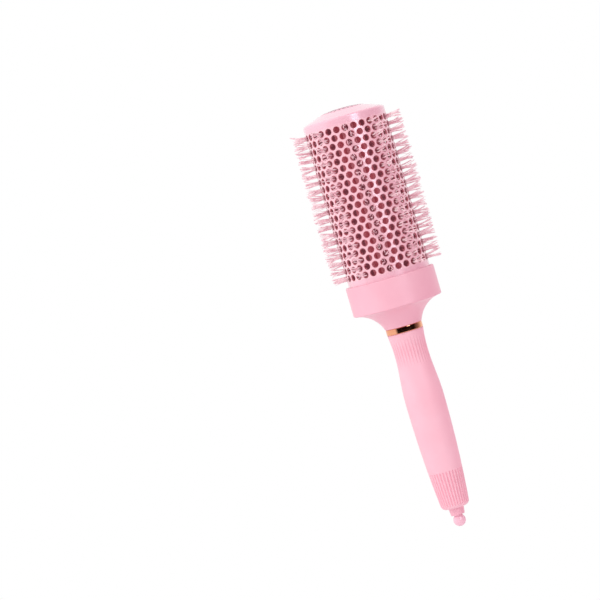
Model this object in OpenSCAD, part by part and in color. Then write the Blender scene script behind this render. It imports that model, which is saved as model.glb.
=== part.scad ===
// Round barrel brush with a vented metal barrel, nylon bristle strips, a soft-touch handle
// and a sectioning pick that slides out of the handle's end.
// The axis of the brush is Z, the tip points up, and the origin is the centre of the collar's band.

/* [Barrel] */
// Outer diameter of the perforated tube
barrel_d = 45; // [43:0.5:53]
// Wall of the tube
barrel_wall = 0.8; // [0.5:0.1:1.0]
// Length of straight tube that stands out of the collar
barrel_show = 87.7; // [84:0.1:108]
// Outside radius of the corner between the tube and its closed-in tip
corner_r = 1.6; // [1.3:0.1:2.4]
// Slope of the tip's shoulder, in degrees
shoulder_slope = 19; // [12:1:24]
// Diameter of the opening in the tip
mouth_d = 24; // [22.5:0.5:27]

/* [Perforation] */
// Diameter of each air hole
hole_d = 3.4; // [2.8:0.1:3.6]
// Number of rows along the tube
hole_rows = 20; // [14:1:20]
// Height of the first row above the collar
first_row = 4.9; // [4:0.1:6]
// Distance of the last row below the end cap's skirt
last_row = 2.2; // [1.7:0.05:4]

/* [Bristles] */
// Length of bristle that stands out of the tube
bristle_out = 9.3; // [6:0.1:12]
// Diameter of one filament
filament_d = 0.6; // [0.4:0.05:0.7]
// Filaments in each tuft
tuft_count = 3; // [2:1:4]
// Distance of a filament from its tuft's axis at the root
tuft_root = 0.36; // [0.3:0.01:0.4]
// Distance of a filament from its tuft's axis at the tip
tuft_tip = 0.95; // [0.6:0.05:1.1]
// Width of a strip's rail
rail_w = 4.6; // [4.4:0.1:4.8]
// Width of the rail's neck, between the slot's lips
rail_neck_w = 3.3; // [3.1:0.1:3.5]
// Height of the rail, foot and neck together
rail_h = 3.2; // [2.8:0.1:3.6]

/* [Core spindle] */
// Radius of the slots' floors
slot_r = 12.2; // [12:0.1:13]
// Walls round each slot
slot_wall = 1; // [0.8:0.1:1.1]
// Thickness of each fin
fin_t = 1.6; // [1.2:0.1:2.2]
// Outer diameter of the hub
hub_d = 13.6; // [13:0.2:15]
// Thickness of the web that the screw pulls on
hub_web = 3; // [2:0.5:4]

/* [End cap] */
// Rise of the vented dome above its own rim
dome_rise = 1.2; // [0.6:0.1:2]
// Wall of the cap
cap_wall = 1.6; // [1.2:0.1:2]
// Length of the skirt inside the straight tube
cap_skirt = 2.8; // [2.4:0.1:5]
// Diameter of each vent
vent_d = 1.5; // [1:0.1:1.8]

/* [Collar] */
// Wall of the band round the tube
collar_wall = 1.85; // [1.4:0.05:3]
// Height of the band
band_h = 16.2; // [14:0.2:19]
// Depth of the socket that takes the tube
socket_depth = 8.5; // [6:0.5:9.5]
// Height of the cove below the band
cove_h = 11.1; // [10.3:0.1:13]
// Radius of the cove's curve
cove_r = 16.3; // [15.5:0.1:22]
// Wall of the cove
cove_wall = 2.2; // [1.6:0.1:2.6]

/* [Trim ring] */
// Outer diameter of the metal ring
ring_d = 20.1; // [19.7:0.1:21]
// Height of the ring
ring_h = 3.4; // [2.5:0.1:5]

/* [Handle] */
// Length from the ring to the end face
handle_len = 98.4; // [92:0.1:115]
// Diameter at the waist
waist_d = 18.2; // [17.6:0.1:19]
// Distance of the waist below the ring
waist_at = 11.6; // [10:0.2:14]
// Diameter at the belly
belly_d = 21.3; // [20:0.1:24]
// Distance of the belly below the ring
belly_at = 38; // [32:0.5:46]
// Diameter where the rounded end begins
tail_d = 15.8; // [15.4:0.1:17.5]
// Radius of the rounded end
end_round = 2.8; // [2:0.1:3.2]
// Diameter of the hard core under the sleeve
core_d = 12.6; // [12:0.2:13.4]
// Diameter of the tang that ties handle, ring, collar and spindle together
tang_d = 9; // [8.4:0.1:9.4]
// Distance between the tang's two flats
tang_flats = 7.6; // [7:0.1:8]

/* [Grip texture] */
// Flutes, and ribs, round the handle
groove_count = 32; // [20:2:32]
// Width across a groove's cutter
groove_w = 1.1; // [0.9:0.05:1.3]
// Depth of a flute at its middle
flute_depth = 0.35; // [0.2:0.05:0.45]
// Length over which the flutes fade in and out
flute_len = 17; // [12:0.5:18]
// Depth of the grooves between the ribs
rib_depth = 0.4; // [0.2:0.05:0.5]
// Length of the ribbed zone
rib_len = 17.4; // [12:0.2:20]

/* [Sectioning pick] */
// Diameter of the ball
ball_d = 6.8; // [6:0.1:7.6]
// Length of shank that shows between the nose and the ball
neck_len = 0.65; // [0.5:0.05:2]
// Diameter of the shank
shank_d = 4.6; // [4:0.1:4.8]
// Length of the straight shank inside the handle
shank_len = 18; // [14:1:24]
// Length of shank and needle inside the handle
pick_len = 72; // [60:1:80]
// Diameter of the needle at its rounded tip
tip_d = 1.6; // [1.2:0.1:2]
// Length of the socket's nose outside the handle
nose_len = 4; // [3:0.1:5]
// Diameter of the nose at the handle
nose_d = 8.5; // [7.8:0.1:8.8]

/* [Fits] */
// Gap on each side of a piece that is pushed home and stays
seat_gap = 0.05; // [0.03:0.01:0.1]
// Gap on each side of a bristle rail in its slot
rail_gap = 0.1; // [0.05:0.01:0.15]
// Gap round the pick's shank
pick_gap = 0.05; // [0.03:0.01:0.08]

/* [Hidden] */
$fn = 96;

// Ten strips, each over every third column of holes, the first one facing -Y
strip_count = 10;
columns_per_strip = 3;
holes_around = strip_count * columns_per_strip;
strip_step = 360 / strip_count;
hole_step = 360 / holes_around;
first_strip = -90;

// How far a cutter runs past what it cuts
over = 1;

// Barrel
barrel_r = barrel_d / 2;
barrel_in_r = barrel_r - barrel_wall;
band_top = band_h / 2;
socket_floor = band_top - socket_depth;

// Tip of the barrel: a corner, then a shoulder that slopes in and up to a round-edged mouth
corner = [barrel_r - corner_r, band_top + barrel_show];
mouth_r = mouth_d / 2;
shoulder_in = [-cos(shoulder_slope), sin(shoulder_slope)];
shoulder_out = [sin(shoulder_slope), cos(shoulder_slope)];
shoulder_start = corner + shoulder_out * (corner_r - barrel_wall / 2);
shoulder_len = (shoulder_start[0] - mouth_r - barrel_wall / 2) / cos(shoulder_slope);
mouth_edge = shoulder_start + shoulder_in * shoulder_len;

// End cap: a flange under the shoulder, and a low dome that stands through the mouth
dome_stand = 0.15;
cap_skirt_r = barrel_in_r - seat_gap;
skirt_bottom = corner[1] - cap_skirt;
cap_r = mouth_r - seat_gap;
cap_rim = mouth_edge[1] + barrel_wall / 2 + dome_stand;
dome_top = cap_rim + dome_rise;
dome_r = (cap_r * cap_r + dome_rise * dome_rise) / (2 * dome_rise);
boss_len = 6;
keeper_t = 1.4;
flange_in = barrel_wall + seat_gap;
// Radius of each ring of vents, and how many vents it has
vent_rings = [[5.8, 14], [8, 20], [10.2, 26]];

// Rows of holes: neighbouring rows are half a hole apart
row_low = band_top + first_row;
row_high = skirt_bottom - last_row;
row_pitch = (row_high - row_low) / (hole_rows - 1);

// Core spindle: a hub, and ten fins that end in T-slots
skirt_reach = 1.5;
hub_wall = 1.9;
tang_reach = 11;
core_top = skirt_bottom + skirt_reach;
hub_r = hub_d / 2;
hub_bore_r = hub_r - hub_wall;
foot_h = rail_h / 2;
slot_half_w = rail_w / 2 + rail_gap + slot_wall;
tang_r = tang_d / 2;
tang_top = socket_floor + tang_reach;
web_top = tang_top + hub_web;

// Bristle strips: each tuft is turned on its own axis by its row and its strip, in degrees
tip_r = barrel_r + bristle_out;
root_r = slot_r + foot_h;
turn_per_row = 47;
turn_per_strip = 13;

// Screw and washer
screw_r = 1.5;
screw_gap = 0.2;
screw_bite = 12;
pilot_spare = 2;
head_r = 3;
head_h = 2.2;
cross_len = 3.6;
cross_w = 0.8;
cross_depth = 1.2;
washer_r = 3.8;
washer_t = 0.8;
head_z = web_top + washer_t;

// Collar: the cove's centre follows from its two ends and its radius
collar_r = barrel_r + seat_gap + collar_wall;
band_round = 0.7;
band_bottom = -band_top;
cove_bottom = band_bottom - cove_h;
// The ring lies this much inside the cove's lower edge, and stands this much out of the handle
ring_step = 0.1;
ring_r = ring_d / 2;
cove_low = [ring_r + ring_step, cove_bottom];
cove_high = [collar_r - band_round, band_bottom];
cove_chord = cove_high - cove_low;
cove_centre = cove_low + cove_chord / 2
            + [cove_chord[1], -cove_chord[0]] * sqrt(pow(cove_r / norm(cove_chord), 2) - 0.25);
collar_tube_wall = 2;
collar_tube_r = tang_r + seat_gap + collar_tube_wall;
ledge_w = 1.2;
cove_floor_t = 3;
web_t = 1.4;

// Trim ring
ring_round = 0.5;
ring_bottom = cove_bottom - ring_h;

// Handle
handle_end = ring_bottom - handle_len;
handle_top_r = ring_r - ring_step;
waist_r = waist_d / 2;
belly_r = belly_d / 2;
tail_r = tail_d / 2;
tail_at = handle_len - end_round;
core_r = core_d / 2;
flange_cover = 1.2;
core_flange_r = waist_r - flange_cover;
core_flange_t = 2;
end_wall = 2;
core_end = handle_end + end_wall;
groove_r = groove_w / 2;
flute_from = 2;

// Pick and its socket
shank_r = shank_d / 2;
flat_depth = 0.57;
shank_flat = shank_r - flat_depth;
plug_step = 0.2;
plug_r = nose_d / 2 + plug_step;
plug_len = 14;
nose_end = handle_end - nose_len;
nose_taper = 0.45;
nose_tip_r = nose_d / 2 - nose_taper;
ball_r = ball_d / 2;
ball_z = nose_end - neck_len - sqrt(ball_r * ball_r - shank_r * shank_r);
needle_tip_r = tip_d / 2;
needle_gap = 0.25;
needle_room = 2;
pick_top = nose_end + pick_len;

// Outer radius of the handle at a distance below the ring: flare, waist, belly, tail
function handle_r(d) =
    d < waist_at ? waist_r + (handle_top_r - waist_r) * pow(1 - d / waist_at, 2)
  : d < belly_at ? waist_r + (belly_r - waist_r) * (1 - cos(180 * (d - waist_at) / (belly_at - waist_at))) / 2
  : belly_r - (belly_r - tail_r) * pow((d - belly_at) / (tail_at - belly_at), 2);

// n distances from a towards b, b left out
function steps(a, b, n) = [for (i = [0 : n - 1]) a + (b - a) * i / n];

// Points on an arc round a centre, from one angle to another
function arc(centre, r, from, to, n = 12) =
    [for (i = [0 : n]) let (a = from + (to - from) * i / n) centre + r * [cos(a), sin(a)]];

// Distances below the ring at which the grip's outline has a point
grip_d = concat(steps(0, waist_at, 6), steps(waist_at, belly_at, 12), steps(belly_at, tail_at, 18),
                [tail_at]);

// Height, at a radius, of the face that lies a distance inside the shoulder
function shoulder_z(r, inside) =
    corner[1] + (corner[0] - r) * tan(shoulder_slope) + (corner_r - inside) / cos(shoulder_slope);

// Underside of the cap's flange where it meets the dome
flange_bottom = shoulder_z(cap_r, flange_in + cap_wall);

// Height of a row of holes and tufts, and its turn from the middle of each strip
function row_z(i) = row_low + i * row_pitch;
function row_shift(i) = (i % 2 == 0 ? 1 : -1) * hole_step / 4;

// Round rod between two points
module rod(p, q, r) {
    v = q - p;
    translate(p) rotate([0, acos(v[2] / norm(v)), atan2(v[1], v[0])]) cylinder(r = r, h = norm(v));
}

// Outline of the tang seen from above: a disc with two flats
module tang_shape(gap = 0) {
    intersection() {
        circle(tang_r + gap);
        square([2 * tang_r + 1, tang_flats + 2 * gap], center = true);
    }
}

// Hole for the tang, from one height to another
module tang_hole(z1, z2) {
    translate([0, 0, z1]) linear_extrude(z2 - z1) tang_shape(seat_gap);
}

// Rectangle against the axis, with both outer corners rounded
module rounded_band(r, z1, z2, rounding) {
    translate([0, z1]) square([r - rounding, z2 - z1]);
    translate([0, z1 + rounding]) square([r, z2 - z1 - 2 * rounding]);
    for (z = [z1 + rounding, z2 - rounding]) translate([r - rounding, z]) circle(rounding, $fn = 32);
}

// ---------------------------------------------------------------- barrel

// One outline: up the tube, round the corner, in along the shoulder, round the mouth's edge and back
module barrel_section() {
    out_turn = 90 - shoulder_slope;
    polygon(concat(
        [[barrel_in_r, socket_floor], [barrel_r, socket_floor]],
        arc(corner, corner_r, 0, out_turn),
        arc(mouth_edge, barrel_wall / 2, out_turn, out_turn + 180),
        arc(corner, corner_r - barrel_wall, out_turn, 0)));
}

// One row of holes, each cut by its own short cutter
module hole_row(i) {
    for (k = [0 : holes_around - 1])
        rotate(first_strip + row_shift(i) + k * hole_step)
            translate([barrel_in_r - over, 0, row_z(i)]) rotate([0, 90, 0])
                cylinder(d = hole_d, h = barrel_wall + 2 * over, $fn = 32);
}

module barrel() {
    color("#f0bccb") difference() {
        rotate_extrude() barrel_section();
        for (i = [0 : hole_rows - 1]) hole_row(i);
    }
}

// ---------------------------------------------------------------- end cap

// The dome as a solid that stands in the mouth, down to a height
module dome_section(inset, bottom) {
    intersection() {
        translate([0, dome_top - dome_r]) circle(dome_r - inset, $fn = 360);
        translate([0, bottom]) square([cap_r - inset, dome_top - bottom]);
    }
}

// The cap's flange as a strip that lies against the shoulder's inner face
module flange_strip(len) {
    outer = corner + shoulder_out * (corner_r - flange_in);
    polygon([outer, outer + shoulder_in * len, outer + shoulder_in * len - shoulder_out * cap_wall,
             outer - shoulder_out * cap_wall]);
}

module cap_section() {
    difference() {
        dome_section(0, flange_bottom);
        dome_section(cap_wall, flange_bottom - over);
    }
    // flange under the shoulder, its corner, and the skirt inside the tube
    flange_strip((corner[0] - cap_r + cap_wall / 2) / cos(shoulder_slope));
    translate(corner) circle(corner_r - flange_in);
    translate([cap_skirt_r - cap_wall, skirt_bottom]) square([cap_wall, cap_skirt]);
    // boss that plugs into the hub
    translate([0, core_top - boss_len])
        square([hub_bore_r - seat_gap, dome_top - cap_wall / 2 - core_top + boss_len]);
    // keeper ring that closes the tops of the slots
    translate([slot_r + rail_h - keeper_t, core_top])
        square([keeper_t, shoulder_z(slot_r + rail_h, flange_in + cap_wall / 2) - core_top]);
}

module end_cap() {
    color("#f4c3d0") difference() {
        rotate_extrude() cap_section();
        for (ring = vent_rings, k = [0 : ring[1] - 1])
            rotate(k * 360 / ring[1]) translate([ring[0], 0, flange_bottom - over])
                cylinder(d = vent_d, h = dome_top - flange_bottom + 2 * over, $fn = 24);
    }
}

// ---------------------------------------------------------------- core spindle

// One fin with its T-slot, pointing along +X
module fin_shape() {
    translate([hub_r - hub_wall / 2, -fin_t / 2]) square([slot_r - hub_r + hub_wall / 2, fin_t]);
    difference() {
        translate([slot_r - slot_wall, -slot_half_w]) square([rail_h + slot_wall, 2 * slot_half_w]);
        rail_shape(rail_gap);
    }
}

// Section of a bristle rail, pointing along +X, with a gap at its sides
module rail_shape(gap = 0) {
    translate([slot_r, -rail_w / 2 - gap]) square([foot_h + gap, rail_w + 2 * gap]);
    translate([slot_r, -rail_neck_w / 2 - gap]) square([rail_h, rail_neck_w + 2 * gap]);
}

module core_spindle() {
    color("#8c3f4c") difference() {
        translate([0, 0, socket_floor]) linear_extrude(core_top - socket_floor) {
            circle(hub_r);
            for (k = [0 : strip_count - 1]) rotate(first_strip + k * strip_step) fin_shape();
        }
        tang_hole(socket_floor - over, tang_top + seat_gap);
        translate([0, 0, web_top]) cylinder(r = hub_bore_r, h = core_top - web_top + over);
        translate([0, 0, tang_top]) cylinder(r = screw_r + screw_gap, h = hub_web + over, $fn = 32);
    }
}

module assembly_screw() {
    color("silver") difference() {
        union() {
            translate([0, 0, head_z]) cylinder(r = head_r, h = head_h);
            translate([0, 0, tang_top - screw_bite])
                cylinder(r = screw_r, h = head_z - tang_top + screw_bite + head_h / 2);
        }
        // cross recess
        for (a = [0, 90]) rotate(a) translate([-cross_len / 2, -cross_w / 2, head_z + head_h - cross_depth])
            cube([cross_len, cross_w, cross_depth + over]);
    }
}

module screw_washer() {
    color("gray") translate([0, 0, web_top]) difference() {
        cylinder(r = washer_r, h = washer_t);
        translate([0, 0, -over]) cylinder(r = screw_r + screw_gap, h = washer_t + 2 * over, $fn = 32);
    }
}

// ---------------------------------------------------------------- bristle strips

// A tuft of filaments that spread a little, drawn along +X in the plane of its row
module tuft(turn) {
    for (j = [0 : tuft_count - 1]) {
        a = turn + j * 360 / tuft_count;
        side = [0, cos(a), sin(a)];
        rod([root_r, 0, 0] + tuft_root * side, [tip_r, 0, 0] + tuft_tip * side, filament_d / 2, $fn = 20);
    }
}

module bristle_strip(k) {
    color("#f6cdd6") rotate(first_strip + k * strip_step) {
        translate([0, 0, socket_floor + seat_gap])
            linear_extrude(core_top - socket_floor - 2 * seat_gap) rail_shape();
        for (i = [0 : hole_rows - 1])
            translate([0, 0, row_z(i)]) rotate(row_shift(i)) tuft(turn_per_row * i + turn_per_strip * k);
    }
}

// ---------------------------------------------------------------- collar and ring

module collar_outside() {
    rounded_band(collar_r, band_bottom, band_top, band_round);
    difference() {
        translate([0, cove_bottom]) square([cove_high[0], cove_h + band_round]);
        translate(cove_centre) circle(cove_r, $fn = 360);
    }
}

// Hollow between the central tube and the cove's wall
module collar_hollow() {
    difference() {
        translate([collar_tube_r, cove_bottom + cove_floor_t])
            square([barrel_in_r - ledge_w - collar_tube_r, socket_floor - cove_bottom - cove_floor_t + over]);
        translate(cove_centre) circle(cove_r + cove_wall, $fn = 360);
    }
}

module collar() {
    color("#f6c6d2") difference() {
        rotate_extrude() collar_outside();
        translate([0, 0, socket_floor]) cylinder(r = barrel_r + seat_gap, h = socket_depth + over);
        difference() {
            rotate_extrude() collar_hollow();
            // webs, one under each bristle strip
            for (k = [0 : strip_count - 1]) rotate(first_strip + k * strip_step)
                translate([0, -web_t / 2, cove_bottom]) cube([barrel_r, web_t, socket_floor - cove_bottom]);
        }
        tang_hole(cove_bottom - over, socket_floor + over);
    }
}

module trim_ring() {
    color("#c98d62") difference() {
        rotate_extrude() rounded_band(ring_r, ring_bottom, cove_bottom, ring_round);
        tang_hole(ring_bottom - over, cove_bottom + over);
    }
}

// ---------------------------------------------------------------- handle

module handle_core() {
    color("#e39aac") difference() {
        union() {
            translate([0, 0, ring_bottom]) linear_extrude(tang_top - ring_bottom) tang_shape();
            rotate_extrude() core_section();
        }
        // pilot hole for the screw, pocket for the socket's plug, and room for the needle
        translate([0, 0, tang_top - screw_bite - pilot_spare])
            cylinder(r = screw_r + seat_gap, h = screw_bite + pilot_spare + over, $fn = 32);
        translate([0, 0, core_end - over]) cylinder(r = plug_r + seat_gap, h = plug_len - end_wall + over);
        translate([0, 0, core_end]) cylinder(r = shank_r + needle_gap, h = pick_top + needle_room - core_end);
    }
}

// Flange under the ring, and the core down to the grip's end wall
module core_section() {
    translate([0, ring_bottom - core_flange_t]) square([core_flange_r, core_flange_t]);
    translate([0, core_end]) square([core_r, ring_bottom - core_end]);
}

module grip_section() {
    difference() {
        polygon(concat(
            [[0, ring_bottom]],
            [for (d = grip_d) [handle_r(d), ring_bottom - d]],
            [[tail_r, handle_end], [0, handle_end]]));
        // rounded end
        translate([tail_r - end_round, handle_end - over]) difference() {
            square(end_round + over);
            translate([0, end_round + over]) circle(end_round);
        }
        core_section();
        translate([0, handle_end - over]) square([plug_r + seat_gap, end_wall + 2 * over]);
    }
}

// A flute is cut by a wide hoop that dips into the waist and leaves it again
module flute() {
    a = [handle_r(flute_from), ring_bottom - flute_from];
    b = [handle_r(flute_from + flute_len), ring_bottom - flute_from - flute_len];
    mid = flute_from + flute_len / 2;
    dip = (a[0] + b[0]) / 2 - handle_r(mid) + flute_depth;
    hoop_r = (pow(norm(a - b) / 2, 2) + dip * dip) / (2 * dip);
    out = [a[1] - b[1], b[0] - a[0]] / norm(a - b);
    centre = (a + b) / 2 + out * (hoop_r - dip);
    translate([centre[0], 0, centre[1]]) rotate([90, 0, 0])
        rotate_extrude($fn = 180) translate([hoop_r - groove_r, 0]) circle(groove_r, $fn = 24);
}

// A rib's groove starts with a round end, follows the surface and runs out over the rounded end
module rib_groove() {
    from = tail_at - rib_len;
    p = [handle_r(from) - rib_depth + groove_r, 0, ring_bottom - from];
    q = [tail_r - rib_depth + groove_r, 0, ring_bottom - tail_at];
    translate(p) sphere(groove_r, $fn = 24);
    rod(p, q + (q - p) * end_round / rib_len, groove_r, $fn = 24);
}

module handle_grip() {
    color("#f7bfcf") difference() {
        rotate_extrude() grip_section();
        for (k = [0 : groove_count - 1]) rotate(k * 360 / groove_count) {
            flute();
            rib_groove();
        }
    }
}

// ---------------------------------------------------------------- pick

// Outline of the pick's shank: a disc with one flat, which keeps the pick from turning
module shank_shape(gap) {
    difference() {
        circle(shank_r + gap);
        translate([shank_flat + gap, -shank_r - over]) square(2 * (shank_r + over));
    }
}

module pick_socket() {
    color("#f2a9bb") difference() {
        union() {
            translate([0, 0, handle_end]) cylinder(r = plug_r, h = plug_len);
            translate([0, 0, nose_end]) cylinder(r1 = nose_tip_r, r2 = nose_d / 2, h = nose_len);
        }
        translate([0, 0, nose_end - over])
            linear_extrude(nose_len + plug_len + 2 * over) shank_shape(pick_gap);
    }
}

module sectioning_pick() {
    color("#f09ab0") {
        translate([0, 0, ball_z]) sphere(ball_r);
        difference() {
            union() {
                translate([0, 0, ball_z]) cylinder(r = shank_r, h = nose_end + shank_len - ball_z);
                translate([0, 0, nose_end + shank_len])
                    cylinder(r1 = shank_r, r2 = needle_tip_r, h = pick_len - shank_len - needle_tip_r);
                translate([0, 0, pick_top - needle_tip_r]) sphere(needle_tip_r);
            }
            translate([shank_flat, -shank_r - over, ball_z - over])
                cube([shank_r, 2 * (shank_r + over), pick_top - ball_z + 2 * over]);
        }
    }
}

barrel();
end_cap();
core_spindle();
assembly_screw();
screw_washer();
bristle_strip(0);  // bristle_strip_01
bristle_strip(1);  // bristle_strip_02
bristle_strip(2);  // bristle_strip_03
bristle_strip(3);  // bristle_strip_04
bristle_strip(4);  // bristle_strip_05
bristle_strip(5);  // bristle_strip_06
bristle_strip(6);  // bristle_strip_07
bristle_strip(7);  // bristle_strip_08
bristle_strip(8);  // bristle_strip_09
bristle_strip(9);  // bristle_strip_10
collar();
trim_ring();
handle_core();
handle_grip();
pick_socket();
sectioning_pick();
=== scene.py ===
"""Looks of the round barrel brush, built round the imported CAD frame. Metres, +Z up the brush."""
import math
import random

import bpy
import numpy as np
from mathutils import Matrix, Vector

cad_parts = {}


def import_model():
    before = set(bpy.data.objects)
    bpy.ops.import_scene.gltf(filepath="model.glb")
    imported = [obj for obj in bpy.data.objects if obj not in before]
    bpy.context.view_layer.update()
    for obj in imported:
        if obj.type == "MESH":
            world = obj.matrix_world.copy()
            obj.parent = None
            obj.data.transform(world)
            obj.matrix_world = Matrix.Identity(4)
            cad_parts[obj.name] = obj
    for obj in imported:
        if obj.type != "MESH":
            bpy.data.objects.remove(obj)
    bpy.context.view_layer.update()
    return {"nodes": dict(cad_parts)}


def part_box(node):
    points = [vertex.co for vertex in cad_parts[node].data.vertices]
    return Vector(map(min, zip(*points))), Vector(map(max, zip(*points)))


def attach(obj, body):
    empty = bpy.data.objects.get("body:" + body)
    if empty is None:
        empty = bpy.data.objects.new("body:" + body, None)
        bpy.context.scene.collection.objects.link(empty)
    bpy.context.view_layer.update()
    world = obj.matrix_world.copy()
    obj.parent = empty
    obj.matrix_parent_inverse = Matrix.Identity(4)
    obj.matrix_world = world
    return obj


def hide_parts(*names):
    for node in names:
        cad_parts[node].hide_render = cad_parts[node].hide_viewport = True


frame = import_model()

NODES = frame["nodes"]
BODY = "brush"
MM = 0.001


# ------------------------------------------------------------------ sizes that sections share

# Read from the frame
BARREL_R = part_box("barrel")[1].x
COLLAR_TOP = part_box("collar")[1].z
SOCKET_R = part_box("pick_socket")[1].x
BALL_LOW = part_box("sectioning_pick")[0].z
GRIP_LOW, GRIP_TOP = (corner.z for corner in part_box("handle_grip"))
SPINDLE_LOW, SPINDLE_TOP = (corner.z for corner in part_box("core_spindle"))

# Where the tube's corner ends, above the cap's skirt
SHOULDER_Z = SPINDLE_TOP + 1.4 * MM

# Holes of the barrel: the middles of the end rows, and the distance from row to row
ROWS = 20
ROW_LOW = COLLAR_TOP + 4.9 * MM
ROW_HIGH = SPINDLE_TOP - 3.7 * MM
ROW_PITCH = (ROW_HIGH - ROW_LOW) / (ROWS - 1)
HOLE_R = 1.7 * MM
# Degrees round the axis from one hole of a row to the next, and from the middle of a strip
# to its holes, which lie to one side of it and to the other by turns
COLUMN_TURN = 12
ROW_TURN = 3

# Strips of bristles, and the first one's middle in degrees from +X
STRIPS = 10
FIRST_STRIP = -90


# ------------------------------------------------------------------ node helpers

class Tree:
    """A node tree with short ways to add nodes. Each value is a plain one or a node's output."""

    def __init__(self, tree):
        self.nodes, self.links = tree.nodes, tree.links

    def put(self, socket, value):
        if isinstance(value, bpy.types.NodeSocket):
            self.links.new(value, socket)
        elif socket.type == "RGBA":
            socket.default_value = (*value, 1)
        else:
            socket.default_value = value

    def fill(self, node, **values):
        """Puts values into the inputs of the same names, with _ for a space."""
        for name, value in values.items():
            self.put(node.inputs[name.replace("_", " ")], value)

    def add(self, kind, operation=None, **values):
        node = self.nodes.new("ShaderNode" + kind)
        if operation:
            node.operation = operation
        self.fill(node, **values)
        return node

    def place(self):
        """Where a point lies in object space."""
        return self.add("TexCoord").outputs["Object"]

    def scaled(self, vector, scale):
        return self.add("Mapping", Vector=vector, Scale=scale).outputs["Vector"]

    def split(self, vector):
        """The X, Y and Z of a vector."""
        return self.add("SeparateXYZ", Vector=vector).outputs

    def radius(self):
        """Distance from the brush's axis."""
        across = self.scaled(self.place(), (1, 1, 0))
        return self.add("VectorMath", "LENGTH", Vector=across).outputs["Value"]

    def noise(self, scale, detail=3.0, stretch=None):
        """Noise in object space, with features about 1 / scale metres across."""
        place = self.place()
        if stretch:
            place = self.scaled(place, stretch)
        return self.add("TexNoise", Vector=place, Scale=scale, Detail=detail).outputs["Fac"]

    def remap(self, value, low, high):
        """Maps low..high of a value to 0..1, held at the ends."""
        return self.add("MapRange", Value=value, From_Min=low, From_Max=high).outputs["Result"]

    def maths(self, operation, first, second=0.0):
        node = self.add("Math", operation)
        for socket, value in zip(node.inputs, (first, second)):
            self.put(socket, value)
        return node.outputs["Value"]

    def times(self, first, second):
        return self.maths("MULTIPLY", first, second)

    def tint(self, factor, first, second):
        """Blends two colours: the first at 0, the second at 1."""
        node = self.add("Mix")
        node.data_type = "RGBA"
        # of the node's inputs and outputs, which come once for each type, these take colours
        for number, value in ((0, factor), (6, first), (7, second)):
            self.put(node.inputs[number], value)
        return node.outputs[2]

    def ramp(self, value, stops):
        """A colour ramp with (position, colour) stops; a plain number stands for a grey."""
        node = self.add("ValToRGB", Fac=value)
        elements = node.color_ramp.elements
        while len(elements) < len(stops):
            elements.new(0.5)
        for element, (position, colour) in zip(elements, stops):
            element.position = position
            if not isinstance(colour, tuple):
                colour = (colour, colour, colour)
            element.color = (*colour, 1)
        return node.outputs["Color"]

    def drift(self, noise, pair, edge=0.3):
        """Goes with a noise from the first of two colours or numbers to the second."""
        return self.ramp(noise, [(edge, pair[0]), (1 - edge, pair[1])])


class Paint(Tree):
    """A new material, its node tree and its shader."""

    def __init__(self, name):
        self.material = bpy.data.materials.new(name)
        self.material.use_nodes = True
        super().__init__(self.material.node_tree)
        self.shader = self.nodes["Principled BSDF"]

    def set(self, **values):
        self.fill(self.shader, **values)

    def base(self):
        """What feeds the base colour so far."""
        return self.shader.inputs["Base Color"].links[0].from_socket

    def bump(self, height, strength, distance, socket="Normal"):
        node = self.add("Bump", Height=height, Strength=strength, Distance=distance)
        self.put(self.shader.inputs[socket], node.outputs["Normal"])


# ------------------------------------------------------------------ colours

def srgb(r, g, b):
    """A colour written as 0 to 255 screen values, in linear light."""
    def linear(c):
        c /= 255
        return c / 12.92 if c <= 0.04045 else ((c + 0.055) / 1.055) ** 2.4
    return (linear(r), linear(g), linear(b))


BLACK = (0.0, 0.0, 0.0)
WHITE = (1.0, 1.0, 1.0)

# The two tones between which each finish drifts
COAT_PINK = srgb(248, 192, 209), srgb(253, 204, 219)
CAP_PINK = srgb(246, 190, 208), srgb(251, 200, 216)
COLLAR_PINK = srgb(247, 186, 203), srgb(251, 194, 209)
SKIN_PINK = srgb(254, 194, 209), srgb(255, 202, 216)
CORE_PINK = srgb(226, 150, 168), srgb(234, 160, 178)
SOCKET_PINK = srgb(247, 182, 200), srgb(251, 191, 208)
PICK_PINK = srgb(250, 198, 216), srgb(253, 206, 222)
STRAND_PINK = srgb(234, 194, 205), srgb(255, 240, 243)
RING_GOLD = srgb(236, 156, 120), srgb(248, 180, 142)
ZINC_GREY = 0.5, 0.64
PAPER_GREY = 0.88, 0.92

# On the barrel: painted shade at the edges of the holes and a painted highlight between them
RIM_SHADE_WINE = srgb(208, 134, 146)
WEB_HIGHLIGHT_PINK = srgb(255, 207, 218)
# Painted shade down the grip's grooves, and down the walls of the cap's vents
GROOVE_SHADE_PINK = srgb(248, 178, 195)
VENT_SHADE = srgb(96, 76, 82)
# What shows through the holes, darkened as painted shade: the tube's inner face, the spindle
# and the strips' rails
INSIDE_SHADE_RED = srgb(208, 124, 134)
SPINDLE_SHADE_RED = INSIDE_SHADE_RED, srgb(218, 134, 144)
RAIL_SHADE_WINE = srgb(140, 72, 84)
# Painted glow: emission that stands in for light seeping through the nylon, inside the barrel
# and in the free strands
PAINTED_INSIDE_GLOW = srgb(136, 74, 86)
PAINTED_STRAND_GLOW = srgb(150, 106, 114)
PAINTED_GLOW_STRENGTH = 0.3


# ------------------------------------------------------------------ materials

# Noise scales: colour
FLAKE = 2600
ZINC_SPANGLE = 700
STRAND_TONE = 330
MOULDING_TONE = 60
PAPER_TONE = 40
# Noise scales: gloss
STRAND_GLOSS = 900
COAT_GLOSS = 300
MOULDING_GLOSS = 220
# Noise scales: relief
STIPPLE = 2600
GRAIN = 1500
PEEL = 900
TURNING = 500
DENTS = 380

# The punched field reaches past the middles of its end rows by the first and ends by the second
FIELD_REACH, FIELD_END = 2 * MM, 2.3 * MM
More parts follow.
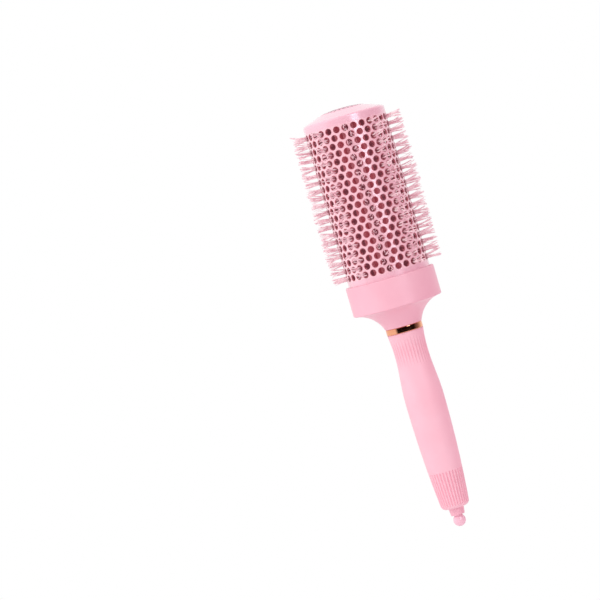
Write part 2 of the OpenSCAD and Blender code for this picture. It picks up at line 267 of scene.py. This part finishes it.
# Past a hole's edge: the painted shade is whole up to the first and ends by the second,
# and the painted highlight begins at the first and is whole from the second
RIM_SHADE_WHOLE, RIM_SHADE_END = 0.12 * MM, 0.22 * MM
HIGHLIGHT_START, HIGHLIGHT_WHOLE = 0.1 * MM, 0.5 * MM
# The painted shade of the inner face begins and is whole at these depths under the coat. It
# ends at the shoulder, over a height of SHOULDER_FADE
INNER_SHADE_START, INNER_SHADE_WHOLE = 0.1 * MM, 0.3 * MM
SHOULDER_FADE = 0.2 * MM
# Painted shade turns the nylon wine in the barrel. A strand's own colour begins a little inside
# the barrel and is whole this far outside it
STRAND_START, STRAND_WHOLE = -0.5 * MM, 1.2 * MM
# The walls of the vents are where the cap's face isn't flat, within the radius of its dome.
# The first of each pair is where their shade is whole, and the second where there is none
STEEP, FLAT = 0.5, 0.8
VENTED_R, PLAIN_R = 11.2 * MM, 11.4 * MM


def hole_distance(paint, place):
    """Distance over the barrel's face from the middle of the nearest hole to a place's X, Y, Z."""
    maths, times = paint.maths, paint.times
    row = maths("DIVIDE", maths("SUBTRACT", place["Z"], ROW_LOW), ROW_PITCH)
    nearest = maths("ROUND", row)
    turn = maths("SUBTRACT", maths("ARCTAN2", place["Y"], place["X"]),
                 math.radians(FIRST_STRIP + ROW_TURN))
    column = maths("DIVIDE", turn, math.radians(COLUMN_TURN))
    # every other row is shifted by half a column
    column = maths("ADD", column, times(maths("MODULO", nearest, 2.0), 0.5))
    across = times(maths("SUBTRACT", column, maths("ROUND", column)),
                   math.radians(COLUMN_TURN) * BARREL_R)
    along = times(maths("SUBTRACT", row, nearest), ROW_PITCH)
    return maths("SQRT", maths("ADD", times(across, across), times(along, along)))


def barrel_coat():
    """Pearly ceramic coat on aluminium: fine flake, a faint orange peel and a clear coat."""
    paint = Paint("pearl_coat")
    times, remap = paint.times, paint.remap
    place = paint.split(paint.place())
    # inside: the tube's inner face and the walls of its holes, which take a painted shade
    inside = times(remap(paint.radius(), BARREL_R - INNER_SHADE_START, BARREL_R - INNER_SHADE_WHOLE),
                   remap(place["Z"], SHOULDER_Z, SHOULDER_Z - SHOULDER_FADE))
    field = times(remap(place["Z"], ROW_LOW - FIELD_END, ROW_LOW - FIELD_REACH),
                  remap(place["Z"], ROW_HIGH + FIELD_END, ROW_HIGH + FIELD_REACH))
    gap = hole_distance(paint, place)
    # painted highlight on the coat between the holes, and painted shade round their edges
    web_highlight = times(field, remap(gap, HOLE_R + HIGHLIGHT_START, HOLE_R + HIGHLIGHT_WHOLE))
    rim = times(field, remap(gap, HOLE_R + RIM_SHADE_END, HOLE_R + RIM_SHADE_WHOLE))
    skin = paint.drift(paint.noise(FLAKE, detail=2), COAT_PINK, edge=0.35)
    skin = paint.tint(rim, paint.tint(web_highlight, skin, WEB_HIGHLIGHT_PINK), RIM_SHADE_WINE)
    # on the inner face: painted shade in the base colour and a painted glow in the emission
    paint.set(Base_Color=paint.tint(inside, skin, INSIDE_SHADE_RED),
              Emission_Color=paint.tint(inside, BLACK, PAINTED_INSIDE_GLOW), Emission_Strength=PAINTED_GLOW_STRENGTH,
              Roughness=paint.drift(paint.noise(COAT_GLOSS), (0.22, 0.3)),
              Coat_Weight=1.0, Coat_IOR=1.6, Coat_Roughness=0.2)
    paint.bump(paint.noise(PEEL), strength=0.05, distance=0.05 * MM)
    # the punched field isn't quite true, which breaks up the coat's gloss between the holes
    dents = times(field, paint.noise(DENTS, detail=1))
    paint.bump(dents, strength=1.0, distance=0.35 * MM, socket="Coat Normal")
    return paint.material


def plastic(name, tones, roughness, coat=0.0, grain=GRAIN, relief=0.1):
    """Moulded plastic whose colour and gloss drift a little, as a paint to add to."""
    paint = Paint(name)
    paint.set(Base_Color=paint.drift(paint.noise(MOULDING_TONE), tones),
              Roughness=paint.drift(paint.noise(MOULDING_GLOSS),
                                    (roughness * 0.9, roughness * 1.1)),
              Coat_Weight=coat, Coat_Roughness=0.15)
    paint.bump(paint.noise(grain), strength=relief, distance=0.04 * MM)
    return paint


def soft_touch():
    """Soft-touch skin: matt with a faint sheen, stippled, and a painted shade down its grooves."""
    paint = plastic("soft_touch", SKIN_PINK, 0.5, grain=STIPPLE, relief=0.2)
    # the attribute gives how much painted shade lies down the grooves
    groove = paint.add("Attribute")
    groove.attribute_name = "groove"
    paint.set(Base_Color=paint.tint(groove.outputs["Fac"], paint.base(), GROOVE_SHADE_PINK),
              Sheen_Weight=0.06, Sheen_Roughness=0.4)
    return paint.material


def spindle_plastic():
    """Red-pink plastic inside the barrel, darkened as painted shade; its painted glow stands in
    for the light that seeps through the strips.
    """
    paint = plastic("spindle_plastic", SPINDLE_SHADE_RED, 0.45)
    paint.set(Emission_Color=PAINTED_INSIDE_GLOW, Emission_Strength=PAINTED_GLOW_STRENGTH)
    return paint.material


def cap_plastic():
    """The cap's plastic, with shade down the walls of its vents."""
    paint = plastic("cap_plastic", CAP_PINK, 0.35, coat=0.2)
    facing = paint.split(paint.add("TexCoord").outputs["Normal"])
    walls = paint.times(paint.remap(facing["Z"], FLAT, STEEP),
                        paint.remap(paint.radius(), PLAIN_R, VENTED_R))
    paint.set(Base_Color=paint.tint(walls, paint.base(), VENT_SHADE))
    return paint.material


def nylon():
    """Pale pink nylon, in a painted shade of wine in and near the barrel; its painted glow stands
    for the light that passes through the thin strands.
    """
    paint = Paint("bristle_nylon")
    free = paint.drift(paint.noise(STRAND_TONE, detail=2), STRAND_PINK, edge=0.4)
    # in and near the barrel the rails and strand roots take a painted shade of wine
    out = paint.remap(paint.radius(), BARREL_R + STRAND_START, BARREL_R + STRAND_WHOLE)
    paint.set(Base_Color=paint.tint(out, RAIL_SHADE_WINE, free),
              # painted glow: the inner one in the barrel, a brighter one on the free strands
              Emission_Color=paint.tint(out, PAINTED_INSIDE_GLOW, PAINTED_STRAND_GLOW), Emission_Strength=PAINTED_GLOW_STRENGTH,
              Roughness=paint.drift(paint.noise(STRAND_GLOSS), (0.25, 0.38)))
    return paint.material


def ring_metal():
    """Polished copper-gold plating with very fine turning marks."""
    paint = Paint("ring_metal")
    turning = paint.noise(TURNING, detail=2, stretch=(0.05, 0.05, 6))
    paint.set(Base_Color=paint.drift(turning, RING_GOLD), Metallic=1.0,
              Roughness=paint.drift(turning, (0.05, 0.1)))
    paint.bump(turning, strength=0.08, distance=0.03 * MM)
    return paint.material


def zinc():
    """Dull zinc plate of the screw and its washer, which lie deep inside."""
    paint = Paint("zinc_plate")
    paint.set(Base_Color=paint.drift(paint.noise(ZINC_SPANGLE), ZINC_GREY),
              Metallic=1.0, Roughness=0.35)
    return paint.material


def dress(node, material):
    """Gives a CAD node a material; its mesh stays as it is."""
    slots = NODES[node].material_slots
    for slot in slots:
        slot.material = material
    if not slots:
        NODES[node].data.materials.append(material)


def dress_cad():
    dress("barrel", barrel_coat())
    dress("end_cap", cap_plastic())
    dress("core_spindle", spindle_plastic())
    dress("collar", plastic("collar_plastic", COLLAR_PINK, 0.36).material)
    dress("trim_ring", ring_metal())
    dress("handle_core", plastic("core_plastic", CORE_PINK, 0.45).material)
    dress("pick_socket", plastic("socket_plastic", SOCKET_PINK, 0.3, coat=0.2).material)
    dress("sectioning_pick", plastic("pick_plastic", PICK_PINK, 0.25, coat=0.3).material)
    steel = zinc()
    dress("assembly_screw", steel)
    dress("screw_washer", steel)


# ------------------------------------------------------------------ mesh helpers

UP = np.array((0, 0, 1))

# A strand loses this share of its radius on its way, and ends in a small dome
TAPER = 0.35
DOME_RISE, DOME_R = 0.7, 0.6


def add_piece(name, replaced, verts, faces, material):
    """A smooth piece on the brush, in place of a CAD node and with a slot's finish."""
    mesh = bpy.data.meshes.new(name)
    mesh.from_pydata([tuple(v) for v in verts], [], faces)
    mesh.validate()
    mesh.materials.append(material)
    mesh.polygons.foreach_set("use_smooth", [True] * len(mesh.polygons))
    piece = bpy.data.objects.new(name, mesh)
    bpy.context.scene.collection.objects.link(piece)
    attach(piece, BODY)
    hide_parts(replaced)
    return piece


def on_circle(angle):
    return np.array((math.cos(angle), math.sin(angle)))


def out_and_side(angle):
    """The way out from the axis and the way sideways, at an angle from +X."""
    return (np.array((math.cos(angle), math.sin(angle), 0)),
            np.array((-math.sin(angle), math.cos(angle), 0)))


def wall(low, high, count):
    """Faces between two closed loops of vertices, each given by the number of its first one."""
    pairs = [(s, (s + 1) % count) for s in range(count)]
    return [(low + s, low + n, high + n, high + s) for s, n in pairs]


def lids(low, high, count):
    """Faces that close the two ends of such walls."""
    return [tuple(low + s for s in reversed(range(count))), tuple(high + s for s in range(count))]


def tube(path, radius, sides, verts, faces):
    """Adds a closed, tapering tube along a path of points to the lists, with a domed far end."""
    base = len(verts)
    radii = [radius * (1 - TAPER * (i / (len(path) - 1)) ** 2) for i in range(len(path))]
    end = path[-1] - path[-2]
    end /= np.linalg.norm(end)
    path = path + [path[-1] + end * radii[-1] * DOME_RISE]
    radii.append(radii[-1] * DOME_R)
    for i, p in enumerate(path):
        a, b = path[max(i - 1, 0)], path[min(i + 1, len(path) - 1)]
        t = (b - a) / np.linalg.norm(b - a)
        u = np.cross(t, UP)
        u /= np.linalg.norm(u)
        w = np.cross(t, u)
        for s in range(sides):
            q = math.tau * s / sides
            verts.append(p + radii[i] * (math.cos(q) * u + math.sin(q) * w))
    for i in range(len(path) - 1):
        faces += wall(base + i * sides, base + (i + 1) * sides, sides)
    faces += lids(base, base + (len(path) - 1) * sides, sides)


# ------------------------------------------------------------------ bristles

FILAMENT_R = 0.15 * MM
FILAMENT_SIDES = 5
FILAMENT_STEPS = 10
# Radii at which a filament starts, in its rail, and at which the longest one ends
FROM_R = 15.0 * MM
TO_R = BARREL_R + 9.15 * MM
# At its start a filament is only this share as far off the rail's middle line as in the hole
ROOT_SHARE = 0.5
# Beyond the hole, this share of its way out to its tip comes as a bend
BEND = 0.4
# Its waves grow to their full swing over the first 1 / WAKE of its length
WAKE = 2.5

# What is drawn for each clump or stray, in mm: how far it falls short, and the length and
# the swing of its waves
SHORT, WAVE, SWING = (0, 1.3), (4.5, 7.5), (0.02, 0.09)
# What is drawn for each filament: how far it falls short besides, in mm, and its thickness
RAGGED = (0, 0.2)
THICKNESS = (0.85, 1.15)

# A tuft is a few clumps of so many filaments each, and some strays
CLUMPS = (4, 3, 3)
STRAYS = 3
# A clump's radius in the hole, and its radius at the tips as a share of that
CLUMP_R, CLUMP_SPREAD = 0.28 * MM, 0.9
# How far seats lie from the hole's middle at most, and how far tips stray from above their seats
CLUMP_SEAT, CLUMP_LEAN = 1.0 * MM, 1.05 * MM
STRAY_SEAT, STRAY_LEAN = 1.1 * MM, 1.3 * MM
# What is drawn for each seat: a share of that distance, and for a stray the share's square
CLUMP_SHARE, STRAY_SHARE = (0.6, 1), (0.2, 1)
# Tips lean less sideways, by this factor, and none leans further than TIP_REACH.
# Then all of them go a little towards the brush's tip
SIDEWAYS = 0.7
TIP_REACH = 2.4 * MM
TIPWARD = 0.55 * MM

# A rail's outline, in mm: radii of its foot's floor and step and of its top, and half widths
RAIL_FLOOR, RAIL_STEP, RAIL_TOP = 12.2, 13.8, 15.4
FOOT_HALF, NECK_HALF = 2.3, 1.65
RAIL_OUTLINE = [(RAIL_FLOOR, -FOOT_HALF), (RAIL_STEP, -FOOT_HALF), (RAIL_STEP, -NECK_HALF),
                (RAIL_TOP, -NECK_HALF), (RAIL_TOP, NECK_HALF), (RAIL_STEP, NECK_HALF),
                (RAIL_STEP, FOOT_HALF), (RAIL_FLOOR, FOOT_HALF)]
RAIL_GAP = 0.05 * MM

# Seed of the first strip's random draws
SEED = 100


def curl(rng):
    """A habit: how far a strand falls short, and its waves' length, phase, swing and plane."""
    return (rng.uniform(*SHORT) * MM, rng.uniform(*WAVE) * MM, rng.uniform(0, math.tau),
            rng.uniform(*SWING) * MM, rng.uniform(0, math.pi))


def filament(rng, angle, z, seat, tip, habit, verts, faces):
    """A wavy filament, from the rail through its seat in the hole and out to its tip."""
    short, wave, phase, swing, plane = habit
    out, side = out_and_side(angle)
    length = TO_R - short - rng.uniform(*RAGGED) * MM - FROM_R
    hole_at = (BARREL_R - FROM_R) / length
    path = []
    for i in range(FILAMENT_STEPS + 1):
        s = i / FILAMENT_STEPS
        if s < hole_at:
            offset = seat * (ROOT_SHARE + (1 - ROOT_SHARE) * s / hole_at)
        else:
            t = (s - hole_at) / (1 - hole_at)
            offset = seat + (tip - seat) * t * (1 - BEND + BEND * t)
        ripple = swing * min(1, WAKE * s) * math.sin(math.tau * s * length / wave + phase)
        a = offset[0] + ripple * math.cos(plane)
        b = offset[1] + ripple * math.sin(plane)
        path.append(out * (FROM_R + s * length) + side * a + UP * (z + b))
    tube(path, FILAMENT_R * rng.uniform(*THICKNESS), FILAMENT_SIDES, verts, faces)


def lean(rng, spread):
    """How far a tip stands off from its seat, sideways and up."""
    way = np.array((SIDEWAYS * rng.gauss(0, spread), rng.gauss(0, spread)))
    return way * min(1, TIP_REACH / np.linalg.norm(way)) + (0, TIPWARD)


def tuft(rng, angle, z, verts, faces):
    """A tuft out of one hole: its clumps, then its strays."""
    start = rng.uniform(0, math.tau)
    for c, count in enumerate(CLUMPS):
        way = start + math.tau * c / len(CLUMPS)
        seat = on_circle(way) * CLUMP_SEAT * rng.uniform(*CLUMP_SHARE)
        tip = seat + lean(rng, CLUMP_LEAN)
        habit = curl(rng)
        for n in range(count):
            # the golden angle packs a clump's filaments evenly
            turn = n * math.pi * (3 - math.sqrt(5))
            place = on_circle(turn) * CLUMP_R * math.sqrt((n + 0.5) / count)
            filament(rng, angle, z, seat + place, tip + place * CLUMP_SPREAD, habit, verts, faces)
    for _ in range(STRAYS):
        way = rng.uniform(0, math.tau)
        seat = on_circle(way) * STRAY_SEAT * math.sqrt(rng.uniform(*STRAY_SHARE))
        filament(rng, angle, z, seat, seat + lean(rng, STRAY_LEAN), curl(rng), verts, faces)


def rail(angle, verts, faces):
    """A strip's rail, as a plain bar between the lips of its slot."""
    out, side = out_and_side(angle)
    base, count = len(verts), len(RAIL_OUTLINE)
    for z in (SPINDLE_LOW + RAIL_GAP, SPINDLE_TOP - RAIL_GAP):
        for r, w in RAIL_OUTLINE:
            verts.append(out * r * MM + side * w * MM + UP * z)
    faces += wall(base, base + count, count)
    faces += lids(base, base + count, count)


def bristles():
    material = nylon()
    for k in range(STRIPS):
        rng = random.Random(SEED + k)
        verts, faces = [], []
        middle = math.radians(FIRST_STRIP + 360 / STRIPS * k)
        rail(middle, verts, faces)
        for i in range(ROWS):
            turn = ROW_TURN if i % 2 == 0 else -ROW_TURN
            tuft(rng, middle + math.radians(turn), ROW_LOW + ROW_PITCH * i, verts, faces)
        add_piece(f"tufts_{k + 1:02d}", f"bristle_strip_{k + 1:02d}",
                  verts, faces, material)


# ------------------------------------------------------------------ grip

# Radii of the skin: at its top, at its waist and its belly, and at its tail, which is rounded
# over. Distances are from the ring down
TOP_R = 9.95 * MM
WAIST_R, WAIST_AT = 9.1 * MM, 11.6 * MM
BELLY_R, BELLY_AT = 10.65 * MM, 38 * MM
TAIL_R, END_ROUND = 7.9 * MM, 2.8 * MM
GRIP_LEN = GRIP_TOP - GRIP_LOW
TAIL_AT = GRIP_LEN - END_ROUND
# Grooves: flutes below the ring, which fade in and out, and ribs at the tail
GROOVES = 32
GROOVE_R = 0.55 * MM
GROOVE_EDGE = 0.08 * MM
FLUTE_FROM, FLUTE_LEN, FLUTE_DEPTH = 2 * MM, 17 * MM, 0.35 * MM
FLUTE_MARGIN = 1 * MM
RIB_LEN, RIB_DEPTH = 17.4 * MM, 0.4 * MM
RIBS_FROM = TAIL_AT - RIB_LEN
# The hollow that the handle's core fills, its flange, and the hole for the pick's socket
CORE_R, END_WALL = 6.3 * MM, 2 * MM
FLANGE_R, FLANGE_T = 7.9 * MM, 2 * MM
PLUG_R, PLUG_BEVEL = SOCKET_R + 0.05 * MM, 0.2 * MM
# Rows of vertices: steps near the start of the ribs, along grooves and elsewhere, the room left
# before the rounded end, and steps round that
START_STEP, GROOVE_STEP, PLAIN_STEP = 0.15 * MM, 0.5 * MM, 1.2 * MM
NEAR_START, END_ROOM = 1.2 * MM, 0.3 * MM
END_STEPS = 12
# Vertices of a row for each groove, and how fast the painted shade comes with a groove's depth
PER_GROOVE = 16
SHADE_POWER = 1.5


def grip_r(d):
    """Radius of the handle at a distance below the ring, as the CAD has it."""
    if d < WAIST_AT:
        return WAIST_R + (TOP_R - WAIST_R) * (1 - d / WAIST_AT) ** 2
    if d < BELLY_AT:
        swell = 1 - math.cos(math.pi * (d - WAIST_AT) / (BELLY_AT - WAIST_AT))
        return WAIST_R + (BELLY_R - WAIST_R) * swell / 2
    return BELLY_R - (BELLY_R - TAIL_R) * ((d - BELLY_AT) / (TAIL_AT - BELLY_AT)) ** 2


def smooth_min(a, b, width):
    """The lesser of two numbers, rounded off where they are within a width of each other."""
    h = max(0.0, min(1.0, 0.5 + (b - a) / (2 * width)))
    return b + (a - b) * h - width * h * (1 - h)


def groove_bottom(d):
    """Radius of the grooves' bottoms at a distance below the ring, or None where none are."""
    if FLUTE_FROM - FLUTE_MARGIN < d < FLUTE_FROM + FLUTE_LEN + FLUTE_MARGIN:
        t = (d - FLUTE_FROM) / FLUTE_LEN * 2 - 1
        return grip_r(d) - FLUTE_DEPTH * (1 - t * t)
    if d > RIBS_FROM - GROOVE_R:
        low, high = grip_r(RIBS_FROM) - RIB_DEPTH, TAIL_R - RIB_DEPTH
        bottom = low + (high - low) * (d - RIBS_FROM) / RIB_LEN
        if d < RIBS_FROM:
            bottom += GROOVE_R - math.sqrt(max(0.0, GROOVE_R ** 2 - (d - RIBS_FROM) ** 2))
        return bottom
    return None


def next_row(d):
    """Distance below the ring of the row of vertices after the one at d."""
    if abs(d - RIBS_FROM) < NEAR_START:
        return d + START_STEP
    grooved = groove_bottom(d + GROOVE_STEP) is not None
    return d + (GROOVE_STEP if grooved else PLAIN_STEP)


def grip_rows():
    """The grip's outline as (radius, distance below the ring), and how many are on its outside."""
    rows = []
    d = 0.0
    while d < TAIL_AT - END_ROOM:
        rows.append((grip_r(d), d))
        d = next_row(d)
    for i in range(END_STEPS + 1):
        a = math.pi / 2 * i / END_STEPS
        rows.append((TAIL_R - END_ROUND + END_ROUND * math.cos(a),
                     TAIL_AT + END_ROUND * math.sin(a)))
    inside = [(PLUG_R + PLUG_BEVEL, GRIP_LEN), (PLUG_R, GRIP_LEN - PLUG_BEVEL),
              (PLUG_R, GRIP_LEN - END_WALL), (CORE_R, GRIP_LEN - END_WALL),
              (CORE_R, FLANGE_T), (FLANGE_R, FLANGE_T), (FLANGE_R, 0.0)]
    return rows + inside, len(rows)


def grooved_r(r, bottom, s):
    """Radius at the vertex s of a row, from the skin's radius and that of the grooves' bottoms."""
    turn = (s / PER_GROOVE + 0.5) % 1 - 0.5
    x = turn * math.tau / GROOVES * r
    if abs(x) >= GROOVE_R:
        return r
    return smooth_min(r, bottom + GROOVE_R - math.sqrt(GROOVE_R ** 2 - x * x), GROOVE_EDGE)


def grip():
    """The soft skin. Its attribute "groove", the share of painted shade, is 0 on the surface and 1
    at a rib's bottom.
    """
    rows, outside = grip_rows()
    segments = GROOVES * PER_GROOVE
    verts, faces, groove_shades = [], [], []
    for n, (r, d) in enumerate(rows):
        bottom = groove_bottom(d) if n < outside else None
        for s in range(segments):
            a = math.tau * s / segments
            radius = r if bottom is None else grooved_r(r, bottom, s)
            verts.append((radius * math.cos(a), radius * math.sin(a), GRIP_TOP - d))
            # painted shade, deeper with the groove's depth
            groove_shades.append(((r - radius) / RIB_DEPTH) ** SHADE_POWER)
    for n in range(len(rows)):
        m = (n + 1) % len(rows)
        for s in range(segments):
            t = (s + 1) % segments
            faces.append((n * segments + s, m * segments + s, m * segments + t, n * segments + t))
    piece = add_piece("grip_skin", "handle_grip", verts, faces, soft_touch())
    groove = piece.data.attributes.new("groove", "FLOAT", "POINT")
    groove.data.foreach_set("value", groove_shades)


# ------------------------------------------------------------------ studio

# Light from all round: white from the front left and above, dimmer and pink from the far side
BRIGHT_WAY = Vector((-0.6, -0.75, 0.3)).normalized()
BRIGHT, DIM = (1.0, 0.98, 0.97), (0.77, 0.475, 0.59)
# What mirrors see, by degrees from -Y towards +X: a dark room in front, white elsewhere
ROOM_DARK = (0.009, 0.004, 0.005)
ROOM_DUSK = (0.3, 0.24, 0.26)
ROOM = [(-180, WHITE), (-62, WHITE), (-46, ROOM_DARK), (62, ROOM_DARK), (95, ROOM_DUSK),
        (130, WHITE), (180, WHITE)]
LAMP_AWAY = 1.5
# The floor's radius, and how far it lies under the ball of the pick
FLOOR_R, FLOOR_DROP = 0.55, 0.17
FLOOR_SIDES = 128


def world():
    """White for the eye. Matt things are lit by a soft gradient, and mirrors see the dark room."""
    scene = bpy.context.scene
    scene.world = bpy.data.worlds.new("studio")
    scene.world.use_nodes = True
    tree = Tree(scene.world.node_tree)
    tree.nodes.clear()
    way = tree.add("TexCoord").outputs["Generated"]
    ray = tree.add("LightPath").outputs

    def backdrop(colour):
        return tree.add("Background", Color=colour, Strength=1.0).outputs["Background"]

    def mix(factor, first, second):
        node = tree.add("MixShader", Fac=factor)
        tree.put(node.inputs[1], first)
        tree.put(node.inputs[2], second)
        return node.outputs["Shader"]

    towards = tree.add("VectorMath", "DOT_PRODUCT", Vector=way)
    tree.put(towards.inputs[1], BRIGHT_WAY)
    soft = tree.tint(tree.remap(towards.outputs["Value"], -1, 1), DIM, BRIGHT)

    axes = tree.split(way)
    turn = tree.maths("ARCTAN2", axes["X"], tree.times(axes["Y"], -1.0))
    room = tree.ramp(tree.remap(turn, -math.pi, math.pi),
                     [((degrees + 180) / 360, colour) for degrees, colour in ROOM])

    light = mix(ray["Is Glossy Ray"], backdrop(soft), backdrop(room))
    straight = tree.maths("MAXIMUM", ray["Is Camera Ray"], ray["Is Transmission Ray"])
    tree.add("OutputWorld", Surface=mix(straight, light, backdrop(WHITE)))


def lamp(name, turn, rise, size, power, colour, mirrored):
    """A lamp turned from -Y towards +X and raised, in degrees; mirrors alone see it, or don't."""
    turn, rise = math.radians(turn), math.radians(rise)
    place = Vector((math.sin(turn) * math.cos(rise), -math.cos(turn) * math.cos(rise),
                    math.sin(rise))) * LAMP_AWAY
    data = bpy.data.lights.new(name, "AREA")
    data.shape = "RECTANGLE"
    data.size, data.size_y = size
    data.energy = power
    data.color = colour
    obj = bpy.data.objects.new(name, data)
    bpy.context.scene.collection.objects.link(obj)
    obj.location = place
    obj.rotation_euler = (-place).to_track_quat("-Z", "Y").to_euler()
    obj.visible_glossy = mirrored
    obj.visible_diffuse = not mirrored


def lights():
    lamp("key", turn=-45, rise=42, size=(0.9, 1.1), power=6, colour=(1, 0.97, 0.95),
         mirrored=False)
    lamp("strip", turn=28.5, rise=24, size=(0.55, 1.3), power=12, colour=(0.94, 0.88, 1.0),
         mirrored=True)


def floor():
    """A pale floor well under the hanging brush, which fades into the backdrop round its rim."""
    bpy.ops.mesh.primitive_circle_add(vertices=FLOOR_SIDES, radius=FLOOR_R, fill_type="NGON",
                                      location=(0, 0, BALL_LOW - FLOOR_DROP))
    obj = bpy.context.active_object
    obj.name = "floor"
    paint = Paint("floor_paper")
    inwards = paint.add("TexGradient", Vector=paint.scaled(paint.place(), (1 / FLOOR_R,) * 3))
    inwards.gradient_type = "SPHERICAL"
    paint.set(Base_Color=paint.drift(paint.noise(PAPER_TONE), PAPER_GREY), Roughness=0.9,
              Alpha=paint.ramp(inwards.outputs["Fac"], [(0.05, 0.0), (0.5, 1.0)]))
    obj.data.materials.append(paint.material)


# ------------------------------------------------------------------ camera

DISTANCE = 1.5
# Width of what the camera takes in, measured at the brush
VIEW_W = 0.3214
# A point on the axis, and how far right of the picture's middle and above it that point shows
PIVOT = Vector((0, 0, -0.0062))
OFF_RIGHT, OFF_UP = 0.0518, -0.001
AZIMUTH, ELEVATION, ROLL = (math.radians(v) for v in (-1.1, 2.85, 16.1))


def camera():
    """A long lens at the brush's height, rolled so that the brush's tip leans to the left."""
    data = bpy.data.cameras.new("camera")
    data.lens = data.sensor_width * DISTANCE / VIEW_W
    data.clip_start, data.clip_end = 0.1, 50.0
    obj = bpy.data.objects.new("camera", data)
    bpy.context.scene.collection.objects.link(obj)
    back = Vector((math.sin(AZIMUTH) * math.cos(ELEVATION),
                   -math.cos(AZIMUTH) * math.cos(ELEVATION), math.sin(ELEVATION)))
    level = Vector((0, 0, 1)).cross(back).normalized()
    upright = back.cross(level)
    right = level * math.cos(ROLL) - upright * math.sin(ROLL)
    up = upright * math.cos(ROLL) + level * math.sin(ROLL)
    # it stands straight off the pivot, and is turned so that the pivot shows off the middle
    away = back * DISTANCE
    behind = (away + right * OFF_RIGHT + up * OFF_UP).normalized()
    right = (right - behind * right.dot(behind)).normalized()
    turn = Matrix((right, behind.cross(right), behind)).transposed()
    obj.matrix_world = Matrix.Translation(PIVOT + away) @ turn.to_4x4()
    bpy.context.scene.camera = obj


# ------------------------------------------------------------------ build

dress_cad()
bristles()
grip()
world()
lights()
floor()
camera()
bpy.context.scene.view_settings.view_transform = "Standard"
